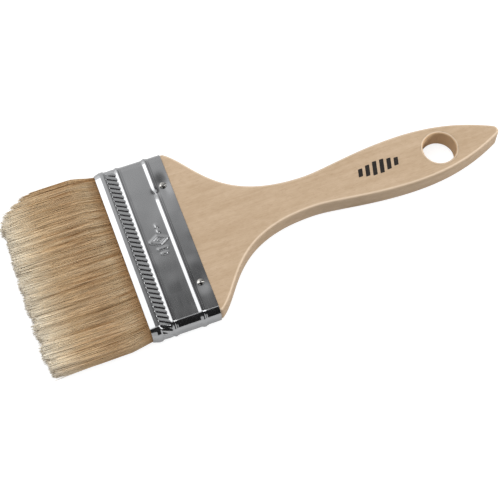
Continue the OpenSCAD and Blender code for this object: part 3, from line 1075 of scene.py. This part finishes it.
def strand_map(mesh, count, rings):
    """A UV map with one thin row for each strand, in eight columns."""
    columns = 8
    rows = math.ceil(count / columns)
    i, r, s, corner = np.ogrid[:count, : rings - 1, :STRAND_SIDES, :4]
    ring_step = corner // 2
    side_step = (corner + 1) // 2 % 2
    u = (i % columns + 0.04 + 0.92 * (r + ring_step) / (rings - 1)) / columns
    v = (i // columns + 0.15 + 0.7 * (s + side_step) / STRAND_SIDES) / rows
    u, v = np.broadcast_arrays(u, v)
    layer = mesh.uv_layers.new(name="OFBake")
    layer.uv.foreach_set("vector", np.stack([u, v], 4).astype(np.float32).ravel())


def make_bristle_piece(name, paths, t, depth, tone, radius, material, nodes):
    """One part of the bristle: its strands as tapered tubes, with their UV map, attributes and material.
    """
    count, rings, _ = paths.shape
    taper = np.interp(t, TAPER_AT, TAPER)
    taper[:, -1] *= TIP_POINT
    points, quads = strand_tubes(paths, radius[:, None] * taper)
    mesh = mesh_from_arrays(name, points, quads)
    strand_map(mesh, count, rings)
    # along, tone, and depth, which sets the painted shade
    for key, values in (("along", t), ("strand", tone[:, None] * np.ones_like(t)), ("depth", depth)):
        add_attribute(mesh, key, np.repeat(values.reshape(-1), STRAND_SIDES))
    mesh.materials.append(material)
    obj = new_object(name, mesh)
    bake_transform(obj)
    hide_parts(*nodes)


def make_bristle():
    """All the bristle, in four pieces: left and right, front and back."""
    rng = np.random.default_rng(SEED)
    y0, z0 = strand_places(rng)
    tip_x = tip_places(y0, z0, rng)
    paths, t, depth = strand_paths(y0, z0, tip_x, rng)
    fine = lattice_noise(y0 / 0.9 + 5, z0 / 1.6 + 50, 21)
    wide = lattice_noise(y0 / 3 + 95, z0 / 3 + 50, 22)
    single = rng.normal(0, TONE_SPREAD, len(y0))
    tone = np.clip(TONE + TONE_GROUPS * (fine + 0.5 * wide) + single, 0, 1)
    radius = rng.uniform(*STRAND_RADII, len(y0))
    material = bristle_material()
    for side, in_front in (("front", z0 > 0), ("back", z0 <= 0)):
        for hand, on_side in (("left", y0 > 0), ("right", y0 <= 0)):
            chosen = in_front & on_side
            make_bristle_piece(
                f"bristle_{side}_{hand}", paths[chosen], t[chosen], depth[chosen], tone[chosen],
                radius[chosen], material, ("bristles_" + side, "bristle_roots_" + side),
            )


# ---------------------------------------------------------------- inside pieces
def dress_cad_nodes():
    """Materials for the two CAD pieces that stay as they are, inside the ferrule."""
    looks = {
        "resin_setting": resin_material(),
        "spacer_strip": wood_material(
            "spacer_wood",
            light=(0.56, 0.42, 0.27),
            dark=(0.43, 0.3, 0.18),
            fleck=(0.3, 0.19, 0.1),
            bore_tint_and_light=(0.4, 0.25, 0.12),
        ),
    }
    for node, material in looks.items():
        for material_slot in bpy.data.objects[node].material_slots:
            material_slot.material = material


# ---------------------------------------------------------------- studio
CAMERA_AIM = (49.8, -14.7, 0.0)
CAMERA_AZIMUTH = math.radians(249.3)
CAMERA_ELEVATION = math.radians(64.83)
CAMERA_DISTANCE = 567.0
CAMERA_ROLL = math.radians(0.32)
CAMERA_LENS = 100

# name, place and size in metres, and power
LAMPS = (
    ("key_lamp", (-0.35, 0.3, 1.1), 1.3, 9.8),
    ("side_lamp", (1.0, -0.34, 0.34), 0.35, 8.0),
)
FLOOR_HALF_SIDE = 4.0
FLOOR_GAP = 0.0004


def make_camera():
    data = bpy.data.cameras.new("camera")
    data.lens = CAMERA_LENS
    data.sensor_width = 36
    data.clip_start = 0.01
    data.clip_end = 20
    camera = new_object("camera", data)
    flat = math.cos(CAMERA_ELEVATION)
    back = Vector(
        (math.cos(CAMERA_AZIMUTH) * flat, math.sin(CAMERA_AZIMUTH) * flat, math.sin(CAMERA_ELEVATION))
    )
    camera.location = Vector(place(CAMERA_AIM)) + back * (CAMERA_DISTANCE * MM)
    turn = (-back).to_track_quat("-Z", "Y")
    camera.rotation_mode = "QUATERNION"
    camera.rotation_quaternion = turn @ Quaternion((0, 0, 1), CAMERA_ROLL)
    bpy.context.scene.camera = camera


def make_world():
    """A white room for the eye, even light for matt surfaces and soft boxes for the steel."""
    world = bpy.data.worlds.new("studio")
    bpy.context.scene.world = world
    world.use_nodes = True
    nodes = Nodes(world.node_tree)
    direction = nodes.add("ShaderNodeTexCoord").outputs["Generated"]
    split = nodes.add("ShaderNodeSeparateXYZ")
    nodes.put(split.inputs[0], direction)
    x, y, z = split.outputs

    # a bright box low over the tips, a ceiling that brightens towards +Y and a thin strip in it
    box = nodes.product(
        nodes.step(x, -0.24, -0.34), nodes.step(y, 0.10, 0.25), nodes.step(y, 0.50, 0.62, 1.0, 0.2)
    )
    ceiling = nodes.product(
        nodes.step(y, 0.385, 0.455, 0.14, 0.52),
        nodes.step(x, 0.09, 0.02, 1.0, 1.45),
        nodes.step(x, 0.35, 0.7, 1.0, 0.5),
        nodes.step(y, 0.16, 0.0, 1.0, 0.1),
    )
    strip = nodes.product(
        nodes.step(y, 0.02, 0.07), nodes.step(y, 0.20, 0.14), nodes.step(x, 0.05, 0.5, 0.6, 3.2)
    )
    glow = nodes.math("ADD", ceiling, nodes.math("MULTIPLY", box, 1.6))
    glow = nodes.math("ADD", glow, strip)

    # low wide boxes on both sides of the -Y half, which is dark in the middle and overhead
    off_middle = nodes.math("ABSOLUTE", nodes.math("SUBTRACT", x, 0.08))
    sides = nodes.product(
        nodes.step(off_middle, 0.3, 0.45), nodes.step(z, 0.6, 0.5), nodes.step(y, -0.2, -0.4, 0.0, 0.6)
    )
    glow = nodes.math("MAXIMUM", glow, sides)

    path = nodes.add("ShaderNodeLightPath")
    even = nodes.step(z, 0.1, 1.0, 0.15, 0.85)
    level = nodes.add("ShaderNodeMix", data_type="FLOAT")
    nodes.put(level.inputs["Factor"], path.outputs["Is Glossy Ray"])
    nodes.put(level.inputs["A"], even)
    nodes.put(level.inputs["B"], glow)
    seen = nodes.add("ShaderNodeMix", data_type="FLOAT")
    nodes.put(seen.inputs["Factor"], path.outputs["Is Camera Ray"])
    nodes.put(seen.inputs["A"], level.outputs["Result"])
    seen.inputs["B"].default_value = 1.0
    background = nodes.add("ShaderNodeBackground")
    background.inputs["Color"].default_value = (1, 1, 1, 1)
    nodes.put(background.inputs["Strength"], seen.outputs["Result"])
    output = nodes.add("ShaderNodeOutputWorld")
    nodes.put(output.inputs["Surface"], background.outputs["Background"])


def make_lamp(name, location, size, power):
    """A square soft box aimed at the middle of the brush, left out of reflections."""
    data = bpy.data.lights.new(name, "AREA")
    data.shape = "SQUARE"
    data.size = size
    data.energy = power
    lamp = new_object(name, data)
    lamp.location = location
    lamp.rotation_mode = "QUATERNION"
    lamp.rotation_quaternion = (-Vector(location)).to_track_quat("-Z", "Y")
    lamp.visible_glossy = False


def make_sheet(name, z, color, glow):
    """A large flat sheet of the studio's floor."""
    signs = ((-1, -1), (1, -1), (1, 1), (-1, 1))
    corners = [(sx * FLOOR_HALF_SIDE, sy * FLOOR_HALF_SIDE, z) for sx, sy in signs]
    mesh = bpy.data.meshes.new(name)
    mesh.from_pydata(corners, [], [(0, 1, 2, 3)])
    sheet = new_object(name, mesh)
    material, _, shader = principled(name, Roughness=0.9, Specular_IOR_Level=0.0)
    shader.inputs["Base Color"].default_value = (color, color, color, 1)
    shader.inputs["Emission Color"].default_value = (1, 1, 1, 1)
    shader.inputs["Emission Strength"].default_value = glow
    mesh.materials.append(material)
    return sheet


def make_floor():
    """A plain white floor for the eye, over a greyer one that the brush is lit by and mirrors."""
    seen = make_sheet("floor", z=0.0, color=0.35, glow=0.8)
    seen.visible_glossy = False
    seen.visible_diffuse = False
    seen.visible_shadow = False
    under = make_sheet("floor_under", z=-FLOOR_GAP, color=0.55, glow=0.0)
    under.visible_camera = False


def make_studio():
    make_camera()
    make_world()
    for lamp in LAMPS:
        make_lamp(*lamp)
    make_floor()
    scene = bpy.context.scene
    scene.view_settings.view_transform = "Standard"
    # the denoiser is given the fine hair as it is, so that it doesn't smear it
    scene.cycles.denoising_prefilter = "NONE"


make_studio()
make_handle()
make_print()
make_ferrule()
make_nails()
make_bristle()
dress_cad_nodes()
